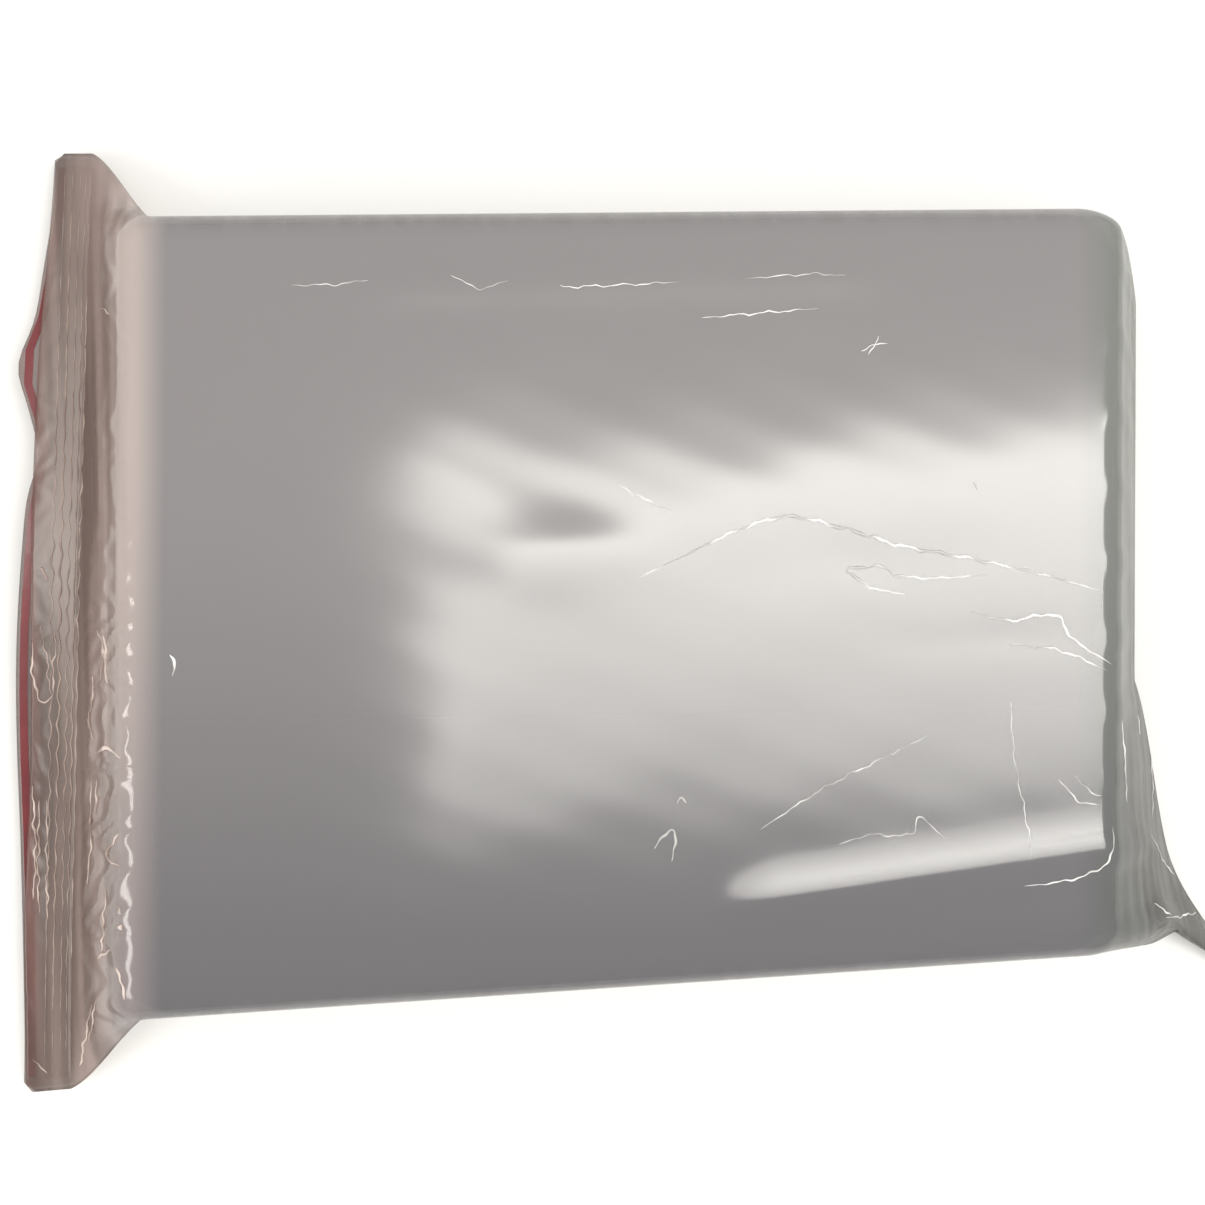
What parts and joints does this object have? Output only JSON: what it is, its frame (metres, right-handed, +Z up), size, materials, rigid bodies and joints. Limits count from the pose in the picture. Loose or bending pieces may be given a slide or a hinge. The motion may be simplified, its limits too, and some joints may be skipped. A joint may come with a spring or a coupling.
{
  "type": "clear poly bag",
  "caption": "Clear press-seal poly bag lying flat, packed tight with a pressed stack of clear film bags; red line on the lip, loose corner at the closed end.",
  "frame": {"origin": "on the table, below the middle of the stack in the bag", "axes": "+X from the open lips to the closed end, +Y across the bag, +Z up off the table"},
  "size_m": [0.3553, 0.2524, 0.0415],
  "materials": {
    "clear_film": "clear low-density polyethylene film, glossy, slightly milky",
    "zip_strip": "translucent extruded strip",
    "red_line": "red pigmented film",
    "pressed_film": "silvery, milky stack of clear film with a soft sheen"
  },
  "bodies": {
    "root": {"pouch_film": "clear_film", "zip_rib": "zip_strip", "zip_channel": "zip_strip", "lip_line": "red_line", "bag_stack": "pressed_film"}
  },
  "joints": []
}
